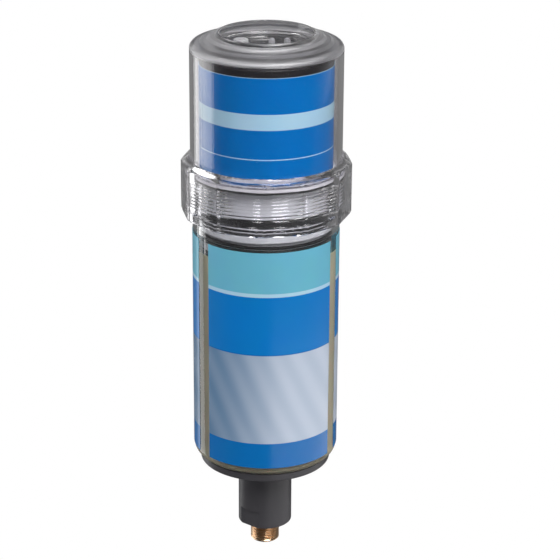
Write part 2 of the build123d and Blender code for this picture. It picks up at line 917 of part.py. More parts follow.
# Cover: clear moulding with a foot, a rounded shoulder, terraces and a rimmed window well
def cover():
    well_r = cover_well_r
    rim_r = cover_rim_r
    well_bottom = cover_well_floor - cover_window
    rim_bottom = cover_rim - cover_rim_wall
    inner_shoulder = cover_shoulder - cover_window
    terrace_start = cover_r - cover_shoulder_round
    pitch = terrace_span / terrace_count
    rise = (cover_rim - cover_shoulder) / terrace_count
    tread = terrace_tread * pitch
    riser = pitch - tread
    terraces = []
    inner_terraces = []
    for i in range(terrace_count):
        edge_r = terrace_start - i * pitch
        edge_z = cover_shoulder + i * rise
        tread_r = edge_r - tread
        tread_z = edge_z + terrace_tread_rise * rise
        inner_edge_r = tread_r - (1 - inner_riser_width) * riser
        inner_edge_z = edge_z + inner_riser_rise * rise
        terraces.append((tread_r, tread_z))
        terraces.append((edge_r - pitch, edge_z + rise))
        inner_terraces.append((tread_r, tread_z - cover_window))
        inner_terraces.append((inner_edge_r, inner_edge_z - cover_window))
    inner_terraces[-1] = (rim_r, rim_bottom)
    profile = [
        (cover_bore_r, base_top),
        (cover_foot_r, base_top),
        (cover_foot_r, foot_top),
        (cover_r, foot_top),
        (cover_r, cover_shoulder),
    ]
    profile += terraces
    profile += [
        (well_r + cover_well_draft, cover_rim),
        (well_r, cover_well_floor),
        (0, cover_well_floor),
        (0, well_bottom),
        (well_r + cover_well_wall, well_bottom),
        (well_r + cover_well_root, rim_bottom),
    ]
    profile += reversed(inner_terraces)
    profile += [(cover_bore_r, inner_shoulder)]
    rounds = [
        (cover_r, cover_shoulder, cover_shoulder_round),
        (cover_bore_r, inner_shoulder, cover_shoulder_round - cover_window / 2),
        (well_r + cover_well_draft, cover_rim, cover_rim_inner_round),
        (rim_r, cover_rim, cover_rim_round),
    ]
    return turned(profile, rounds)


# Retaining ring: twelve-sided nut with a bored shoulder that holds the cover's foot down
def retaining_ring():
    hole_r = cover_r + ring_hole_clearance
    outer_r = ring_corner_r + ring_corner_margin
    shoulder_bottom = foot_top + ring_foot_gap
    counterbore_bottom = canister_top + ring_counterbore_rise
    twelve_sides = RegularPolygon(ring_corner_r, ring_flats, rotation=ring_corner_angle)
    prism = Pos(0, 0, ring_bottom) * extrude(twelve_sides, ring_inner_top - ring_bottom)
    envelope = turned([
        (0, ring_bottom),
        (outer_r - ring_bottom_chamfer, ring_bottom),
        (outer_r, ring_bottom + ring_bottom_chamfer),
        (outer_r, ring_corner_top),
        (ring_flat_r, ring_flat_top),
        (hole_r, ring_inner_top),
        (0, ring_inner_top),
    ], [(ring_flat_r, ring_flat_top, ring_flat_round)])
    opening = turned([
        (0, ring_bottom),
        (ring_bore_r, ring_bottom),
        (ring_bore_r, counterbore_bottom),
        (ring_counterbore_r, counterbore_bottom),
        (ring_counterbore_r, shoulder_bottom),
        (hole_r, shoulder_bottom),
        (hole_r, ring_inner_top),
        (0, ring_inner_top),
    ])
    return (prism & envelope) - opening


save(outlet_nipple(), "outlet_nipple")
save(support_flange(), "support_flange")
save(oring(flange_seal_r, canister_bottom - oring_section / 2), "flange_seal")
save(canister(), "canister")
save(label_panel(front_label_start_angle, front_label_end_angle), "front_label")
save(label_panel(rear_label_start_angle, rear_label_end_angle), "rear_label")
save(grease_charge(), "grease_charge")
save(piston(), "piston")
save(piston_seal(piston_seat, True), "lower_piston_seal")
save(piston_seal(piston_top - seal_height, False), "upper_piston_seal")
save(spindle(), "spindle")
save(thrust_washer(), "thrust_washer")
save(drive_base(), "drive_base")
save(oring(base_oring_r, base_groove_z), "base_seal")
save(canister_gasket(), "canister_gasket")
save(output_gear(), "output_gear")
save(output_shaft(), "output_shaft")
save(idler_pin(), "idler_pin")
save(compound_gear(idler_spot, second_z, idler_turn, pin_d), "idler_gear")
save(compound_gear((0.0, 0.0), first_z, middle_turn, shaft_d), "middle_gear")
save(motor_pinion(), "motor_pinion")
save(motor_shaft(), "motor_shaft")
save(gear_plate_piece(), "gear_plate")
save(gear_plate_screws(), "gear_plate_screws")
save(motor(), "motor")
save(battery_holder(), "battery_holder")
for number in range(len(cell_angles)):
    save(battery_cell(number), f"battery_cell_{number + 1}")
save(lower_contact(), "lower_contact")
save(upper_contact(), "upper_contact")
save(drive_housing(), "drive_housing")
save(housing_label(), "housing_label")
save(circuit_board(), "circuit_board")
save(led(polar(run_lamp_r, run_lamp_angle)), "run_lamp")
save(led(polar(fault_lamp_r, fault_lamp_angle)), "fault_lamp")
save(dial_switch(), "dial_switch")
save(time_dial(), "time_dial")
save(cover(), "cover")
save(retaining_ring(), "retaining_ring")
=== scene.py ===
import math

import bmesh
import bpy
from mathutils import Matrix, Vector


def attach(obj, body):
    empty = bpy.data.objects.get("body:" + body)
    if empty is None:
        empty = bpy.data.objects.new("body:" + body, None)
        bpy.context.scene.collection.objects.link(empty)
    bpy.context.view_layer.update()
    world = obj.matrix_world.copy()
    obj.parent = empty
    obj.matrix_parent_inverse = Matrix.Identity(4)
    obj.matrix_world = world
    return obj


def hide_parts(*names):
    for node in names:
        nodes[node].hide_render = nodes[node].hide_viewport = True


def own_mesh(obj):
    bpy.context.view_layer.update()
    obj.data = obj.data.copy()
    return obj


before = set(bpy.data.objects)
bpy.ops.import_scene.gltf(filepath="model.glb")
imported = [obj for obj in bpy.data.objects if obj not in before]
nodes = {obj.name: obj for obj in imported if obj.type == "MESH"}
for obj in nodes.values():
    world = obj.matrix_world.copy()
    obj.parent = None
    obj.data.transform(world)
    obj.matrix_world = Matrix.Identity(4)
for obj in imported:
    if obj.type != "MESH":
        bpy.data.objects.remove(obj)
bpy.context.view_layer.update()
scene = bpy.context.scene

# The studio: a pale sweep far below the hung lubricator, two upright soft boxes on the left, a
# panel high in front, one high behind and a curved white card low on the right. The camera
# stands a metre away and looks down with a long lens.
scene.view_settings.view_transform = "Standard"
scene.cycles.max_bounces = 24
scene.cycles.transmission_bounces = 24
scene.cycles.glossy_bounces = 12
scene.cycles.transparent_max_bounces = 24

picture_px = 560
axis_off_middle_px = 14.18
looked_at_height = 0.11872
eye_distance = 0.939
look_down = math.radians(21.19)
eye_tilt = math.radians(0.212)
eye = bpy.data.objects.new("camera", bpy.data.cameras.new("camera"))
eye.data.lens = 135.0
eye.data.sensor_width = 36.0
eye.data.shift_x = axis_off_middle_px / picture_px
eye.data.clip_start = 0.05
eye_place = Matrix.Translation((0, -eye_distance * math.cos(look_down),
                                looked_at_height + eye_distance * math.sin(look_down)))
eye_turn = Matrix.Rotation(math.pi / 2 - look_down, 4, "X") @ Matrix.Rotation(eye_tilt, 4, "Z")
eye.matrix_world = eye_place @ eye_turn
scene.collection.objects.link(eye)
scene.camera = eye


def backdrop(tree, lit, tone, output):
    """Plain white to the camera and, darker by the tone, to gloss and clear pieces."""
    kind = "ShaderNodeEmission" if output.type == "OUTPUT_MATERIAL" else "ShaderNodeBackground"
    path = tree.nodes.new("ShaderNodeLightPath")
    mirrored = tree.nodes.new("ShaderNodeMath")
    mirrored.operation = "MAXIMUM"
    tree.links.new(path.outputs["Is Glossy Ray"], mirrored.inputs[0])
    tree.links.new(path.outputs["Is Transmission Ray"], mirrored.inputs[1])
    shown = lit
    for seen, strength in ((mirrored.outputs[0], tone), (path.outputs["Is Camera Ray"], None)):
        glow = tree.nodes.new(kind)
        glow.inputs["Color"].default_value = (1, 1, 1, 1)
        glow.inputs["Strength"].default_value = 1.0
        if strength:
            tree.links.new(strength, glow.inputs["Strength"])
        choice = tree.nodes.new("ShaderNodeMixShader")
        tree.links.new(seen, choice.inputs[0])
        tree.links.new(shown.outputs[0], choice.inputs[1])
        tree.links.new(glow.outputs[0], choice.inputs[2])
        shown = choice
    tree.links.new(shown.outputs[0], output.inputs["Surface"])


def graded(tree, source, near, far, low, high):
    """A value that runs from low to high while its source runs from near to far."""
    ramp = tree.nodes.new("ShaderNodeMapRange")
    ramp.interpolation_type = "SMOOTHSTEP"
    ramp.inputs["From Min"].default_value = near
    ramp.inputs["From Max"].default_value = far
    ramp.inputs["To Min"].default_value = low
    ramp.inputs["To Max"].default_value = high
    tree.links.new(source, ramp.inputs["Value"])
    return ramp.outputs["Result"]


room = bpy.data.worlds.new("room")
room.use_nodes = True
scene.world = room
room_tree = room.node_tree
room_light = room_tree.nodes["Background"]
facing = room_tree.nodes.new("ShaderNodeTexCoord")
heading = room_tree.nodes.new("ShaderNodeSeparateXYZ")
room_tree.links.new(facing.outputs["Object"], heading.inputs[0])
room_light.inputs["Color"].default_value = (0.95, 0.94, 1.0, 1)
room_light.inputs["Strength"].default_value = 0.34
depth_tone = graded(room_tree, heading.outputs["Y"], near=-0.4, far=0.8, low=0.05, high=0.62)
height_tone = graded(room_tree, heading.outputs["Z"], near=-0.05, far=0.3, low=1.0, high=0.2)
room_tone = room_tree.nodes.new("ShaderNodeMath")
room_tone.operation = "MULTIPLY"
room_tree.links.new(depth_tone, room_tone.inputs[0])
room_tree.links.new(height_tone, room_tone.inputs[1])
backdrop(room_tree, room_light, room_tone.outputs[0], room_tree.nodes["World Output"])

sweep_reach = 2.0
sweep_middle = (0, 1.6, -0.32)
sweep_shape = bmesh.new()
bmesh.ops.create_grid(sweep_shape, x_segments=1, y_segments=1, size=sweep_reach,
                      matrix=Matrix.Translation(sweep_middle))
sweep_mesh = bpy.data.meshes.new("sweep")
sweep_shape.to_mesh(sweep_mesh)
sweep = bpy.data.objects.new("sweep", sweep_mesh)
scene.collection.objects.link(sweep)
sweep_paper = bpy.data.materials.new("sweep_paper")
sweep_paper.use_nodes = True
paper_tree = sweep_paper.node_tree
paper = paper_tree.nodes["Principled BSDF"]
paper.inputs["Base Color"].default_value = (0.86, 0.86, 0.86, 1)
paper.inputs["Roughness"].default_value = 0.9
underfoot = paper_tree.nodes.new("ShaderNodeTexCoord")
spread = paper_tree.nodes.new("ShaderNodeSeparateXYZ")
paper_tree.links.new(underfoot.outputs["Object"], spread.inputs[0])
paper_tone = graded(paper_tree, spread.outputs["Y"], near=0.0, far=2.4, low=0.13, high=0.24)
backdrop(paper_tree, paper, paper_tone, paper_tree.nodes["Material Output"])
sweep_mesh.materials.append(sweep_paper)

# Each panel faces the lubricator's middle, and its azimuth runs from the front to the right.
lit_point = Vector((0, 0, 0.12))
for name, azimuth, distance, middle, width, height, watts in (
    ("left_soft_box", -100, 0.6, 0.30, 0.32, 0.76, 1.4),
    ("rear_soft_box", -125, 0.6, 0.12, 0.22, 1.0, 1.1),
    ("front_panel", 22, 1.3, 1.4, 1.1, 0.9, 28),
    ("rear_panel", 176, 0.7, 1.35, 0.7, 0.6, 3.6),
):
    turn = math.radians(azimuth)
    panel = bpy.data.objects.new(name, bpy.data.lights.new(name, "AREA"))
    panel.data.shape = "RECTANGLE"
    panel.data.size = width
    panel.data.size_y = height
    panel.data.energy = watts
    panel.location = (distance * math.sin(turn), -distance * math.cos(turn), middle)
    aim = lit_point - panel.location
    panel.rotation_euler = aim.to_track_quat("-Z", "Y").to_euler()
    panel.visible_camera = False
    scene.collection.objects.link(panel)

card_r = 0.6
card_foot_z = -0.31
card_head_z = -0.165
card_start = math.radians(10)
card_arc = math.radians(108)
lit_card = bpy.data.materials.new("lit_card")
lit_card.use_nodes = True
card_glow = lit_card.node_tree.nodes["Principled BSDF"]
card_glow.inputs["Emission Color"].default_value = (1.0, 0.97, 0.95, 1)
card_glow.inputs["Emission Strength"].default_value = 1.2
card_shape = bmesh.new()
card_foot = card_shape.verts.new((card_r * math.sin(card_start), -card_r * math.cos(card_start),
                                  card_foot_z))
card_head = card_shape.verts.new((card_foot.co.x, card_foot.co.y, card_head_z))
card_edge = card_shape.edges.new((card_foot, card_head))
bmesh.ops.spin(card_shape, geom=[card_foot, card_head, card_edge], cent=(0, 0, 0),
               axis=(0, 0, 1), angle=card_arc, steps=24)
card_mesh = bpy.data.meshes.new("white_card")
card_shape.to_mesh(card_mesh)
card = bpy.data.objects.new("white_card", card_mesh)
scene.collection.objects.link(card)
card_mesh.materials.append(lit_card)


# The outlet nipple is turned from brass bar and moulded into the foot. Its G 1/4 pipe thread has a
# pitch of 1.337 mm, and a chamfered tip lets it start in the hole of the bearing.
mm = 0.001
outlet_pitch = 1.337
outlet_r = 6.5785
outlet_depth = 0.80
outlet_bore_r = 3.0
shank_r = 8.0
shank_top = 14.0
tip_z = -10.2


def rows(radius, low, high, step):
    """Points up or down a wall, close enough together for a thread to be cut in it."""
    count = max(1, round(abs(high - low) / step))
    return [(radius, low + (high - low) * i / count) for i in range(count + 1)]


def spun(outline, steps, arc=360.0, start=0.0):
    """A closed outline of (radius, height) in mm, spun round the axis from start, off the front."""
    shape = bmesh.new()
    turn = math.radians(start)
    spots = [shape.verts.new((r * mm * math.sin(turn), -r * mm * math.cos(turn), z * mm))
             for r, z in outline]
    sides = [shape.edges.new((a, b)) for a, b in zip(spots, spots[1:] + spots[:1])]
    whole = arc >= 360.0
    bmesh.ops.spin(shape, geom=spots + sides, cent=(0, 0, 0), axis=(0, 0, 1),
                   angle=math.radians(arc), steps=steps, use_merge=whole)
    weld = 0.002 * mm
    bmesh.ops.remove_doubles(shape, verts=shape.verts, dist=weld)
    if not whole:
        open_edges = [e for e in shape.edges if e.is_boundary]
        bmesh.ops.holes_fill(shape, edges=open_edges, sides=0)
    bmesh.ops.dissolve_degenerate(shape, edges=shape.edges, dist=weld)
    bmesh.ops.recalc_face_normals(shape, faces=shape.faces)
    return shape


def cut_thread(shape, wall_r, low, high, pitch, depth, crest, root, phase=0.0, starts=1):
    """Moves a wall's points inwards by a right-handed thread form that runs out at both ends.

    crest and root are their shares of the pitch, and the two flanks share what is left.
    """
    flank = (1 - crest - root) / 2
    for spot in shape.verts:
        x, y, z = spot.co / mm
        r = math.hypot(x, y)
        if abs(r - wall_r) > 0.004 or not low <= z <= high:
            continue
        turns = (z / pitch - starts * math.atan2(y, x) / math.tau + phase) % 1.0
        if turns < crest:
            cut = 0.0
        elif turns < crest + flank:
            cut = (turns - crest) / flank
        elif turns < crest + flank + root:
            cut = 1.0
        else:
            cut = (1.0 - turns) / flank
        run_out = min(1.0, (z - low) / pitch, (high - z) / pitch)
        scale = (r - depth * cut * run_out) / r
        spot.co.x *= scale
        spot.co.y *= scale


def piece(shape, name, material, body, replaced=(), sharp=32.0):
    """Makes the shape an object of this scene, finished and riding on its body."""
    mesh = bpy.data.meshes.new(name)
    shape.to_mesh(mesh)
    shape.free()
    mesh.polygons.foreach_set("use_smooth", [True] * len(mesh.polygons))
    mesh.set_sharp_from_angle(angle=math.radians(sharp))
    mesh.materials.append(material)
    made = bpy.data.objects.new(name, mesh)
    scene.collection.objects.link(made)
    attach(made, body)
    if replaced:
        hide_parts(*replaced)
    return made


def finish(name, dark, light, roughness, grain, relief, metal=0.0, sheen=0.5):
    """A surface whose tone, gloss and relief vary finely, as a mould, a tool or wear does it."""
    made = bpy.data.materials.new(name)
    made.use_nodes = True
    tree = made.node_tree
    shader = tree.nodes["Principled BSDF"]
    shader.inputs["Metallic"].default_value = metal
    shader.inputs["Specular IOR Level"].default_value = sheen
    place = tree.nodes.new("ShaderNodeTexCoord")
    fine = tree.nodes.new("ShaderNodeTexNoise")
    fine.inputs["Scale"].default_value = grain
    fine.inputs["Detail"].default_value = 3.0
    tree.links.new(place.outputs["Object"], fine.inputs["Vector"])
    broad = tree.nodes.new("ShaderNodeTexNoise")
    broad.inputs["Scale"].default_value = grain / 14
    tree.links.new(place.outputs["Object"], broad.inputs["Vector"])
    tone = tree.nodes.new("ShaderNodeMix")
    tone.data_type = "RGBA"
    tone.inputs["A"].default_value = (*dark, 1)
    tone.inputs["B"].default_value = (*light, 1)
    tree.links.new(broad.outputs["Fac"], tone.inputs["Factor"])
    tree.links.new(tone.outputs["Result"], shader.inputs["Base Color"])
    gloss = tree.nodes.new("ShaderNodeMapRange")
    gloss.inputs["To Min"].default_value = roughness * 0.8
    gloss.inputs["To Max"].default_value = roughness * 1.2
    tree.links.new(broad.outputs["Fac"], gloss.inputs["Value"])
    tree.links.new(gloss.outputs["Result"], shader.inputs["Roughness"])
    bump = tree.nodes.new("ShaderNodeBump")
    bump.inputs["Strength"].default_value = relief
    bump.inputs["Distance"].default_value = 0.1 * mm
    tree.links.new(fine.outputs["Fac"], bump.inputs["Height"])
    tree.links.new(bump.outputs["Normal"], shader.inputs["Normal"])
    return made


brass = finish("brass", dark=(0.80, 0.53, 0.32), light=(0.92, 0.66, 0.44),
               roughness=0.28, grain=900.0, relief=0.10, metal=1.0)
nipple_outline = rows(outlet_r, -9.5, 0.0, outlet_pitch / 12)
nipple_outline += [(shank_r, 0.0), (shank_r, shank_top), (outlet_bore_r, shank_top),
                   (outlet_bore_r, -9.9), (3.3, tip_z), (5.75, tip_z), (6.1, -10.0)]
nipple = spun(nipple_outline, steps=120)
cut_thread(nipple, outlet_r, low=-9.6, high=-0.2, pitch=outlet_pitch, depth=outlet_depth,
           crest=0.12, root=0.12)
piece(nipple, "threaded_nipple", brass, "reservoir", ["outlet_nipple"], sharp=40.0)


# The foot is one black moulding: a round plate that carries the canister and a neck with two
# flats for a wrench. Its surface has the fine grain of the mould.
black_moulding = finish("black_moulding", dark=(0.042, 0.041, 0.046), light=(0.058, 0.056, 0.062),
                        roughness=0.42, grain=1800.0, relief=0.35)


def dressed(node, material):
    """Gives a CAD node its finish."""
    nodes[node].data.materials.clear()
    nodes[node].data.materials.append(material)


dressed("support_flange", black_moulding)


# The seals are moulded in black nitrile rubber: a ring under the canister, one round the drive
# base, a flat gasket on the canister's rim and two rings on the piston. The piston's upper ring
# and the base seal have two lips each, with a groove between them.
lip_r = 29.48
lip_groove_r = 28.8
lip_inner_r = 28.2
groove_half = 0.5
black_rubber = finish("black_rubber", dark=(0.012, 0.012, 0.012), light=(0.024, 0.024, 0.024),
                      roughness=0.55, grain=1500.0, relief=0.3)
for seal in ("flange_seal", "canister_gasket", "lower_piston_seal"):
    dressed(seal, black_rubber)
for name, body, node, low, groove, high in (
    ("upper_piston_lips", "piston", "upper_piston_seal", 142.5, 143.9, 145.3),
    ("base_seal_lips", "reservoir", "base_seal", 150.2, 153.7, 158.2),
):
    lips = spun([(lip_inner_r, low), (lip_r, low), (lip_r, groove - groove_half),
                 (lip_groove_r, groove), (lip_r, groove + groove_half),
                 (lip_r, high), (lip_inner_r, high)], steps=128)
    piece(lips, name, black_rubber, body, [node])


# The canister is a deep clear cup, injection moulded in one piece. A fine two-start thread is
# moulded on its collar for the retaining ring, and its foot is rounded.
canister_r = 32.5
canister_bore_r = 29.5
canister_floor_r = 12.5
canister_foot = 36.2
canister_floor = 39.2
canister_rim = 170.4
collar_r = 34.2
collar_pitch = 1.5
collar_depth = 0.26


def rounded(outline, corners):
    """The outline with some of its corners turned into arcs: corners maps a corner to a radius."""
    arc_steps = 8
    result = []
    for place, point in enumerate(outline):
        if place not in corners:
            result.append(point)
            continue
        here = Vector(point)
        before = (Vector(outline[place - 1]) - here).normalized()
        after = (Vector(outline[(place + 1) % len(outline)]) - here).normalized()
        half = before.angle(after) / 2
        radius = corners[place]
        middle = here + (before + after).normalized() * (radius / math.sin(half))
        first = here + before * (radius / math.tan(half)) - middle
        last = here + after * (radius / math.tan(half)) - middle
        for step in range(arc_steps + 1):
            spoke = first.lerp(last, step / arc_steps).normalized() * radius
            result.append(tuple(middle + spoke))
    return result


def clear_moulding(name, tint, roughness, waviness, satin=None):
    """Clear plastic that lets the lamps through, with the slight waves and haze of a moulding.

    satin is a height, a radius and a roughness: above the one and outside the other it is matt.
    """
    made = bpy.data.materials.new(name)
    made.use_nodes = True
    tree = made.node_tree
    shader = tree.nodes["Principled BSDF"]
    shader.inputs["Base Color"].default_value = (*tint, 1)
    shader.inputs["Transmission Weight"].default_value = 1.0
    shader.inputs["IOR"].default_value = 1.49
    place = tree.nodes.new("ShaderNodeTexCoord")
    haze = tree.nodes.new("ShaderNodeTexNoise")
    haze.inputs["Scale"].default_value = 120.0
    haze.inputs["Detail"].default_value = 3.0
    tree.links.new(place.outputs["Object"], haze.inputs["Vector"])
    gloss = tree.nodes.new("ShaderNodeMapRange")
    gloss.inputs["To Min"].default_value = roughness * 0.4
    gloss.inputs["To Max"].default_value = roughness * 1.6
    tree.links.new(haze.outputs["Fac"], gloss.inputs["Value"])
    surface = gloss.outputs["Result"]
    if satin:
        satin_z, satin_r, satin_roughness = satin
        parts = tree.nodes.new("ShaderNodeSeparateXYZ")
        tree.links.new(place.outputs["Object"], parts.inputs[0])
        flat = tree.nodes.new("ShaderNodeCombineXYZ")
        tree.links.new(parts.outputs["X"], flat.inputs["X"])
        tree.links.new(parts.outputs["Y"], flat.inputs["Y"])
        off_axis = tree.nodes.new("ShaderNodeVectorMath")
        off_axis.operation = "LENGTH"
        tree.links.new(flat.outputs[0], off_axis.inputs[0])
        above = graded(tree, parts.outputs["Z"], near=(satin_z - 0.5) * mm,
                       far=(satin_z + 0.5) * mm, low=0.0, high=satin_roughness)
        outside = graded(tree, off_axis.outputs["Value"], near=(satin_r - 0.3) * mm,
                         far=(satin_r + 0.3) * mm, low=0.0, high=1.0)
        matt = tree.nodes.new("ShaderNodeMath")
        matt.operation = "MULTIPLY_ADD"
        tree.links.new(above, matt.inputs[0])
        tree.links.new(outside, matt.inputs[1])
        tree.links.new(surface, matt.inputs[2])
        surface = matt.outputs[0]
    tree.links.new(surface, shader.inputs["Roughness"])
    waves = tree.nodes.new("ShaderNodeTexNoise")
    waves.inputs["Scale"].default_value = 60.0
    tree.links.new(place.outputs["Object"], waves.inputs["Vector"])
    bump = tree.nodes.new("ShaderNodeBump")
    bump.inputs["Strength"].default_value = waviness
    bump.inputs["Distance"].default_value = 0.2 * mm
    tree.links.new(waves.outputs["Fac"], bump.inputs["Height"])
    tree.links.new(bump.outputs["Normal"], shader.inputs["Normal"])
    path = tree.nodes.new("ShaderNodeLightPath")
    through = tree.nodes.new("ShaderNodeBsdfTransparent")
    through.inputs["Color"].default_value = (0.93, 0.93, 0.94, 1)
    choice = tree.nodes.new("ShaderNodeMixShader")
    tree.links.new(path.outputs["Is Shadow Ray"], choice.inputs[0])
    tree.links.new(shader.outputs[0], choice.inputs[1])
    tree.links.new(through.outputs[0], choice.inputs[2])
    tree.links.new(choice.outputs[0], tree.nodes["Material Output"].inputs["Surface"])
    return made


clear_canister = clear_moulding("clear_canister", (0.95, 0.965, 0.97), roughness=0.03,
                                waviness=0.05)
canister_outline = [(canister_floor_r, canister_foot), (canister_r, canister_foot),
                    (canister_r, 151.8), (collar_r, 153.5)]
canister_outline += rows(collar_r, 153.6, 168.4, collar_pitch / 14)
canister_outline += [(collar_r, 168.5), (33.25, canister_rim), (canister_bore_r, canister_rim),
                     (canister_bore_r, canister_floor), (canister_floor_r, canister_floor)]
inner_corner = len(canister_outline) - 2
canister_outline = rounded(canister_outline, {1: 5.0, inner_corner: 3.0})
canister = spun(canister_outline, steps=192)
cut_thread(canister, collar_r, low=157.6, high=168.45, pitch=collar_pitch, depth=collar_depth,
           crest=0.1, root=0.1, starts=2)
piece(canister, "clear_canister", clear_canister, "reservoir", ["canister"])


# The grease fills the canister from its floor to the piston. It is a pale beige paste with soft
# streaks, and it wets the wall. In the lubricator it gets shorter as the piston comes down; here it
# is one column of fixed height.
grease_r = 29.55
grease_top = 136.6
piston_boss_r = 9.6
grease = finish("grease", dark=(0.50, 0.455, 0.32), light=(0.62, 0.565, 0.41),
                roughness=0.32, grain=260.0, relief=0.5)
grease_shader = grease.node_tree.nodes["Principled BSDF"]
grease_shader.inputs["Subsurface Weight"].default_value = 0.15
grease_shader.inputs["Subsurface Scale"].default_value = 2 * mm
grease_outline = [(12.6, 38.2), (30.4, 38.2), (grease_r, 42.6), (grease_r, grease_top),
                  (piston_boss_r, grease_top), (piston_boss_r, 39.3), (12.6, 39.3)]
grease_outline = rounded(grease_outline, {1: 1.6})
grease_column = piece(spun(grease_outline, steps=96), "grease_column", grease,
                      "reservoir", ["grease_charge"])
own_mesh(grease_column)


# The piston is a ribbed cup, moulded in light grey plastic. Its long threaded boss runs on the
# spindle, which draws it down onto the grease.
light_grey = finish("light_grey_moulding", dark=(0.60, 0.59, 0.62), light=(0.72, 0.71, 0.74),
                    roughness=0.4, grain=1600.0, relief=0.25)
dressed("piston", light_grey)


# The spindle is a rolled steel lead screw with a trapezoidal thread of 3 mm pitch, a thrust collar
# and a hexagon that plugs into the output gear. A steel washer takes the thrust.
spindle_r = 5.0
spindle_pitch = 3.0
spindle_depth = 1.4
spindle_foot = 30.0
thrust_collar_r = 8.5
thrust_collar_low = 143.4
thrust_collar_top = 144.6
hexagon_low = 144.5
hexagon_length = 8.8
hexagon_flat_r = 3.95
steel = finish("ground_steel", dark=(0.42, 0.42, 0.43), light=(0.58, 0.58, 0.59),
               roughness=0.28, grain=700.0, relief=0.2, metal=1.0)
spindle_outline = [(0.0, spindle_foot), (3.4, spindle_foot), (spindle_r, 31.6)]
spindle_outline += rows(spindle_r, 31.7, 143.3, spindle_pitch / 8)
spindle_outline += [(spindle_r, thrust_collar_low), (thrust_collar_r, thrust_collar_low),
                    (thrust_collar_r, thrust_collar_top), (0.0, thrust_collar_top)]
spindle = spun(spindle_outline, steps=48)
cut_thread(spindle, spindle_r, low=31.0, high=143.35, pitch=spindle_pitch, depth=spindle_depth,
           crest=0.34, root=0.36)
bmesh.ops.create_circle(spindle, cap_ends=True, segments=6,
                        radius=hexagon_flat_r / math.cos(math.pi / 6) * mm,
                        matrix=Matrix.Translation((0, 0, hexagon_low * mm)))
hexagon = [f for f in spindle.faces if len(f.verts) == 6
           and abs(f.calc_center_median().z - hexagon_low * mm) < 0.001 * mm]
raised = bmesh.ops.extrude_face_region(spindle, geom=hexagon)
bmesh.ops.translate(spindle, vec=(0, 0, hexagon_length * mm),
                    verts=[g for g in raised["geom"] if isinstance(g, bmesh.types.BMVert)])
bmesh.ops.recalc_face_normals(spindle, faces=spindle.faces)
piece(spindle, "lead_screw", steel, "spindle", ["spindle"])
for part in ("thrust_washer", "output_shaft", "idler_pin", "motor_shaft", "gear_plate_screws"):
    dressed(part, steel)


# The canister's two printed films are glossy blue sheet: one wraps its front and one its back,
# with a clear strip left between them at each side.
film_thickness = 0.12
canister_film_r = 32.55
canister_film_low = 41.2
canister_film_high = 143.5
ramp_spare = 60.0


def printed(name, colours, sheen, pale=None):
    """A printed film: plain colours from given heights in mm up, and a pale field, partly painted
    light, if it has one.

    The last colour runs up for ramp_spare mm, which is past the top of any film.
    """
    made = bpy.data.materials.new(name)
    made.use_nodes = True
    tree = made.node_tree
    shader = tree.nodes["Principled BSDF"]
    shader.inputs["Roughness"].default_value = 0.22
    shader.inputs["Specular IOR Level"].default_value = sheen
    place = tree.nodes.new("ShaderNodeTexCoord")
    parts = tree.nodes.new("ShaderNodeSeparateXYZ")
    tree.links.new(place.outputs["Object"], parts.inputs[0])
    low = colours[0][0]
    high = colours[-1][0] + ramp_spare
    height = tree.nodes.new("ShaderNodeMapRange")
    height.inputs["From Min"].default_value = low * mm
    height.inputs["From Max"].default_value = high * mm
    tree.links.new(parts.outputs["Z"], height.inputs["Value"])
    ramp = tree.nodes.new("ShaderNodeValToRGB")
    ramp.color_ramp.interpolation = "CONSTANT"
    stops = ramp.color_ramp.elements
    while len(stops) < len(colours):
        stops.new(1.0)
    for stop, (z, colour) in zip(stops, colours):
        stop.position = (z - low) / (high - low)
        stop.color = (*colour, 1)
    tree.links.new(height.outputs["Result"], ramp.inputs["Fac"])
    ink = tree.nodes.new("ShaderNodeTexNoise")
    ink.inputs["Scale"].default_value = 90.0
    tree.links.new(place.outputs["Object"], ink.inputs["Vector"])
    wear = tree.nodes.new("ShaderNodeMix")
    wear.data_type = "RGBA"
    wear.blend_type = "MULTIPLY"
    wear.inputs["Factor"].default_value = 0.12
    tree.links.new(ramp.outputs["Color"], wear.inputs["A"])
    tree.links.new(ink.outputs["Color"], wear.inputs["B"])
    last = wear
    if pale:
        last = pale_field(tree, place, parts, wear, *pale)
    tree.links.new(last.outputs["Result"], shader.inputs["Base Color"])
    bump = tree.nodes.new("ShaderNodeBump")
    bump.inputs["Strength"].default_value = 0.04
    bump.inputs["Distance"].default_value = 0.2 * mm
    tree.links.new(ink.outputs["Fac"], bump.inputs["Height"])
    tree.links.new(bump.outputs["Normal"], shader.inputs["Normal"])
    return made


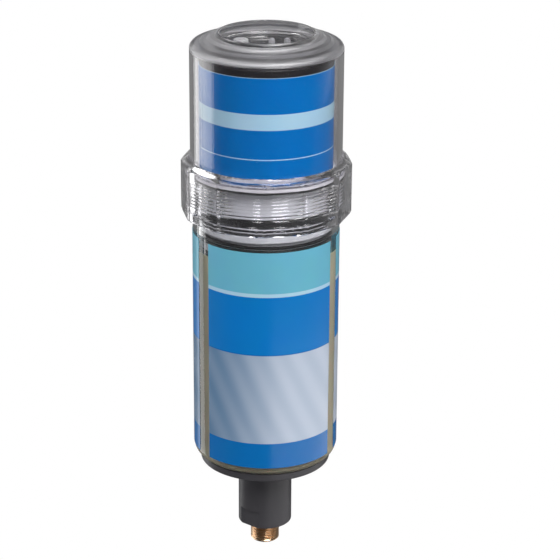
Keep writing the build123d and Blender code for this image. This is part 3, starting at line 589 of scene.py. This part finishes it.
def pale_field(tree, place, parts, under, low, high, light, shade):
    """A pale field between two heights with faint slanting rays, brightening to the right partly as
    print, partly as painted light.
    """
    slanted = tree.nodes.new("ShaderNodeMapping")
    slanted.inputs["Rotation"].default_value = (0, math.radians(24), 0)
    tree.links.new(place.outputs["Object"], slanted.inputs["Vector"])
    rays = tree.nodes.new("ShaderNodeTexWave")
    rays.inputs["Scale"].default_value = 34.0
    rays.inputs["Distortion"].default_value = 0.6
    tree.links.new(slanted.outputs["Vector"], rays.inputs["Vector"])
    # The brightening to the right is partly the print's own and partly painted light, the left end
    # painted shade.
    print_and_light_rise = graded(tree, parts.outputs["X"], near=-26 * mm, far=14 * mm, low=0.0, high=0.85)
    faint = tree.nodes.new("ShaderNodeMath")
    faint.operation = "MULTIPLY_ADD"
    faint.use_clamp = True
    faint.inputs[1].default_value = 0.16
    tree.links.new(rays.outputs["Fac"], faint.inputs[0])
    tree.links.new(print_and_light_rise, faint.inputs[2])
    tone = tree.nodes.new("ShaderNodeMix")
    tone.data_type = "RGBA"
    tone.inputs["A"].default_value = (*shade, 1)
    tone.inputs["B"].default_value = (*light, 1)
    tree.links.new(faint.outputs[0], tone.inputs["Factor"])
    above = graded(tree, parts.outputs["Z"], near=(low - 0.1) * mm, far=(low + 0.1) * mm,
                   low=0.0, high=1.0)
    below = graded(tree, parts.outputs["Z"], near=(high - 0.1) * mm, far=(high + 0.1) * mm,
                   low=1.0, high=0.0)
    inside = tree.nodes.new("ShaderNodeMath")
    inside.operation = "MULTIPLY"
    tree.links.new(above, inside.inputs[0])
    tree.links.new(below, inside.inputs[1])
    laid = tree.nodes.new("ShaderNodeMix")
    laid.data_type = "RGBA"
    tree.links.new(inside.outputs[0], laid.inputs["Factor"])
    tree.links.new(under.outputs["Result"], laid.inputs["A"])
    tree.links.new(tone.outputs["Result"], laid.inputs["B"])
    return laid


def film(name, material, radius, low, high, start, arc, steps, replaced):
    """A thin film wrapped on a cylinder, from an angle off the front and through an arc."""
    outer_r = radius + film_thickness
    shape = spun([(radius, low), (outer_r, low), (outer_r, high), (radius, high)],
                 steps, arc, start)
    piece(shape, name, material, "reservoir", [replaced])


deep_blue = (0.0, 0.150, 0.455)
bright_blue = (0.0, 0.188, 0.560)
pale_stripe = (0.42, 0.66, 0.80)
teal = (0.145, 0.470, 0.610)
# The pale field's tones are partly print and partly painted light: its darker left end is painted
# shade, its brighter right end a painted lit side.
field_print_painted_light = (0.49, 0.56, 0.66)
field_print_painted_shade = (0.115, 0.215, 0.345)
field_low = 53.2
field_high = 95.6
canister_print = printed("canister_print", [
    (canister_film_low, deep_blue),
    (field_high, bright_blue),
    (122.75, pale_stripe),
    (124.6, teal),
], sheen=0.35, pale=(field_low, field_high, field_print_painted_light, field_print_painted_shade))
film("front_film", canister_print, canister_film_r, canister_film_low, canister_film_high,
     start=-50.2, arc=109.6, steps=72, replaced="front_label")
film("rear_film", canister_print, canister_film_r, canister_film_low, canister_film_high,
     start=70.9, arc=224.5, steps=144, replaced="rear_label")


# The drive base is a light grey moulding that plugs the canister, holds the gears and carries the
# drive housing. The gear plate above it is of the same plastic.
for part in ("drive_base", "gear_plate"):
    dressed(part, light_grey)


# The gears are white nylon, and the smallest, on the motor, is brass. The motor is a plated steel
# can, and the three cells stand in a black holder with plated contact strips at their ends.
nylon = finish("white_nylon", dark=(0.70, 0.69, 0.63), light=(0.80, 0.79, 0.74),
               roughness=0.38, grain=1200.0, relief=0.2)
for part in ("output_gear", "idler_gear", "middle_gear"):
    dressed(part, nylon)
dressed("motor_pinion", brass)
plated = finish("plated_steel", dark=(0.55, 0.54, 0.50), light=(0.70, 0.69, 0.64),
                roughness=0.22, grain=500.0, relief=0.15, metal=1.0)
for part in ("motor", "lower_contact", "upper_contact"):
    dressed(part, plated)
cell_film = finish("cell_film", dark=(0.02, 0.03, 0.05), light=(0.05, 0.06, 0.08),
                   roughness=0.25, grain=300.0, relief=0.1)
for part in ("battery_cell_1", "battery_cell_2", "battery_cell_3"):
    dressed(part, cell_film)
dressed("battery_holder", black_moulding)


# The drive housing is a black shell. Its blue film leaves a black band at the top and a narrow
# slit at the back, and is printed with two plain pale stripes.
housing_film_r = 29.25
housing_film_low = 174.5
housing_film_high = 220.3
# This blue is a darker copy of the canister's blue, and the darkening is painted shade.
shaded_housing_blue = (0.0, 0.162, 0.505)
black_shell = finish("black_shell", dark=(0.010, 0.009, 0.010), light=(0.018, 0.016, 0.018),
                     roughness=0.5, grain=1400.0, relief=0.2, sheen=0.3)
dressed("drive_housing", black_shell)
housing_print = printed("housing_print", [
    (housing_film_low, shaded_housing_blue),
    (184.0, pale_stripe),
    (184.7, shaded_housing_blue),
    (197.5, pale_stripe),
    (204.5, shaded_housing_blue),
    (219.75, pale_stripe),
], sheen=0.12)
film("housing_film", housing_print, housing_film_r, housing_film_low, housing_film_high,
     start=-176.0, arc=352.0, steps=200, replaced="housing_label")


# The circuit board is lacquered black and carries small black components. Two clear lamps stand
# on it beside the white switch whose slotted dial sets the time.
lacquer = finish("black_lacquer", dark=(0.014, 0.017, 0.024), light=(0.026, 0.030, 0.038),
                 roughness=0.7, grain=800.0, relief=0.15, sheen=0.0)
dressed("circuit_board", lacquer)
board_face = 220.8
board_parts = bmesh.new()
for x, y, width, depth, height in (
    (-3.2, 14.6, 3.0, 1.6, 0.8),
    (-5.6, 4.0, 5.2, 4.0, 1.2),
    (5.4, 6.2, 1.6, 0.9, 0.5),
    (5.4, 4.4, 1.6, 0.9, 0.5),
    (12.6, 3.4, 2.0, 1.3, 0.6),
    (-14.4, 1.6, 1.0, 1.9, 0.5),
    (0.4, -6.6, 6.4, 6.4, 1.0),
    (9.4, -7.8, 2.0, 1.3, 0.6),
    (-10.2, -8.4, 3.2, 2.6, 1.1),
    (1.8, -14.2, 3.4, 1.4, 0.9),
):
    stood = Matrix.Translation((x * mm, y * mm, (board_face + height / 2) * mm))
    sized = Matrix.Diagonal((width * mm, depth * mm, height * mm, 1))
    bmesh.ops.create_cube(board_parts, size=1.0, matrix=stood @ sized)
bmesh.ops.bevel(board_parts, geom=board_parts.edges[:], offset=0.08 * mm, offset_type="OFFSET",
                affect="EDGES", segments=1, profile=0.5, material=-1, clamp_overlap=True)
chip_case = finish("chip_case", dark=(0.020, 0.020, 0.022), light=(0.045, 0.045, 0.048),
                   roughness=0.4, grain=900.0, relief=0.2)
piece(board_parts, "board_parts", chip_case, "reservoir")

lamp_resin = finish("lamp_resin", dark=(0.78, 0.78, 0.80), light=(0.88, 0.88, 0.90),
                    roughness=0.12, grain=500.0, relief=0.1)
lamp_resin.node_tree.nodes["Principled BSDF"].inputs["Transmission Weight"].default_value = 0.55
for part in ("run_lamp", "fault_lamp"):
    dressed(part, lamp_resin)
lamp_metal = finish("lamp_metal", dark=(0.70, 0.70, 0.70), light=(0.82, 0.82, 0.82),
                    roughness=0.2, grain=600.0, relief=0.1, metal=1.0)
cup_outline = [(0.0, 221.0), (0.55, 221.0), (0.55, 222.6), (1.05, 223.3), (0.75, 223.3),
               (0.3, 222.8), (0.0, 222.8)]
for x, y in ((2.2, 11.5), (9.1, 11.5)):
    cup = spun(cup_outline, steps=24)
    bmesh.ops.translate(cup, vec=(x * mm, y * mm, 0), verts=cup.verts)
    piece(cup, f"lamp_cup_{round(x)}", lamp_metal, "reservoir")
white_moulding = finish("white_moulding", dark=(0.60, 0.60, 0.60), light=(0.70, 0.70, 0.70),
                        roughness=0.3, grain=900.0, relief=0.15, sheen=0.3)
for part in ("dial_switch", "time_dial"):
    dressed(part, white_moulding)


# The cover is a thick clear moulding with a foot that the ring holds down. Its top rises in three
# terraces to a rim round a sunk window over the lamps and the dial. The window is polished, and
# the terraces are satin.
cover_r = 33.35
cover_bore_r = 30.85
cover_foot_r = 34.3
cover_low = 173.0
cover_foot_top = 174.6
cover_rim = 232.6
window_r = 19.3
window_top = 228.2
window_under = 225.8
clear_cover = clear_moulding("clear_cover", (0.93, 0.92, 0.94), roughness=0.02, waviness=0.03,
                             satin=(225.0, 20.8, 0.28))
cover_outline = [
    (cover_bore_r, cover_low), (cover_foot_r, cover_low), (cover_foot_r, cover_foot_top),
    (cover_r, cover_foot_top), (cover_r, 228.0),
    (29.01, 228.38), (27.57, 229.53), (25.73, 229.92), (24.28, 231.07), (22.44, 231.45),
    (21.0, cover_rim), (20.3, cover_rim),
    (window_r, window_top), (0.0, window_top), (0.0, window_under), (19.9, window_under),
    (20.7, 229.72), (21.0, 229.72), (22.44, 229.05), (25.15, 228.2), (25.73, 227.52),
    (28.43, 226.67), (29.01, 225.98), (cover_bore_r, 225.6),
]
cover_outline = rounded(cover_outline, {
    4: 2.5, 5: 0.8, 6: 0.5, 7: 0.8, 8: 0.5, 9: 0.8, 10: 0.5, 11: 0.5, 12: 0.25, 23: 1.2,
})
piece(spun(cover_outline, steps=256), "clear_cover", clear_cover, "cover",
      ["cover"], sharp=40.0)


# The retaining ring is a clear moulding with twelve flats and a cone above them. Its fine
# two-start thread runs on the canister's collar, and its shoulder presses the cover's foot down.
ring_flat_r = 36.32
ring_corner_r = 37.6
ring_first_corner = -4.0
ring_flats_apart = 30.0
ring_mouth_r = 33.65
ring_thread_r = 34.5
ring_relief_r = 35.3
ring_depth = 0.24
shoulder_r = 34.8
shoulder_z = 174.65
cone_low = 174.3
cone_rise = 2.9
cone_top = 177.2
cone_steps = 12
clear_ring = clear_moulding("clear_ring", (0.95, 0.94, 0.96), roughness=0.09, waviness=0.02)
ring_outline = [(35.6, 152.1), (37.1, 152.1), (ring_corner_r, 152.6)]
ring_outline += rows(ring_corner_r, 158.0, 170.0, 6.0)
for i in range(cone_steps + 1):
    ring_outline.append((ring_corner_r - (ring_corner_r - ring_mouth_r) * i / cone_steps,
                         cone_low + cone_rise * i / cone_steps))
ring_outline += [(ring_mouth_r, shoulder_z), (shoulder_r, shoulder_z), (shoulder_r, 170.8),
                 (ring_thread_r, 170.8)]
ring_outline += rows(ring_thread_r, 170.6, 156.4, collar_pitch / 14)
ring_outline += [(ring_relief_r, 155.5), (ring_relief_r, 152.4)]
ring = spun(ring_outline, steps=288, start=ring_first_corner)
cut_thread(ring, ring_thread_r, low=157.4, high=170.5, pitch=collar_pitch, depth=ring_depth,
           crest=0.1, root=0.1, phase=0.1, starts=2)

# The outside is pressed in from its corners to the flats. Each flat's top edge is an arc that
# reaches highest at its middle, where the cone above it bulges a little.
flat_arc_rise = 1.2
cone_bulge = 0.5
for spot in ring.verts:
    x, y, z = spot.co / mm
    r = math.hypot(x, y)
    if r < ring_relief_r + 0.4 and z < shoulder_z + 0.05:
        continue
    off_corner = math.degrees(math.atan2(x, -y)) - ring_first_corner
    off_flat = math.radians((off_corner % ring_flats_apart) - ring_flats_apart / 2)
    flat_here = ring_flat_r / math.cos(off_flat)
    if z < cone_low - 0.05:
        reach = min(r, flat_here)
        height = z
    else:
        along = (z - cone_low) / cone_rise
        edge = min(1.0, (ring_corner_r - flat_here) / (ring_corner_r - ring_flat_r))
        edge_z = cone_low + flat_arc_rise * edge
        reach = flat_here + (ring_mouth_r - flat_here) * along
        height = edge_z + (cone_top - edge_z) * along
        height += cone_bulge * math.sin(math.pi * along) * edge
    spot.co = Vector((x * reach / r, y * reach / r, height)) * mm
corner_edges = []
for edge in ring.edges:
    ends = [end.co / mm for end in edge.verts]
    off_corners = [(math.degrees(math.atan2(end.x, -end.y)) - ring_first_corner + 0.1)
                   % ring_flats_apart for end in ends]
    upright = abs(ends[0].z - ends[1].z) > 0.2
    outermost = all(math.hypot(end.x, end.y) > 36.9 for end in ends)
    if max(off_corners) < 0.2 and upright and outermost:
        corner_edges.append(edge)
bmesh.ops.bevel(ring, geom=corner_edges, offset=0.35 * mm, offset_type="OFFSET", affect="EDGES",
                segments=2, profile=0.5, material=-1, clamp_overlap=True)
bmesh.ops.recalc_face_normals(ring, faces=ring.faces)
piece(ring, "clear_ring", clear_ring, "ring", ["retaining_ring"], sharp=20.0)
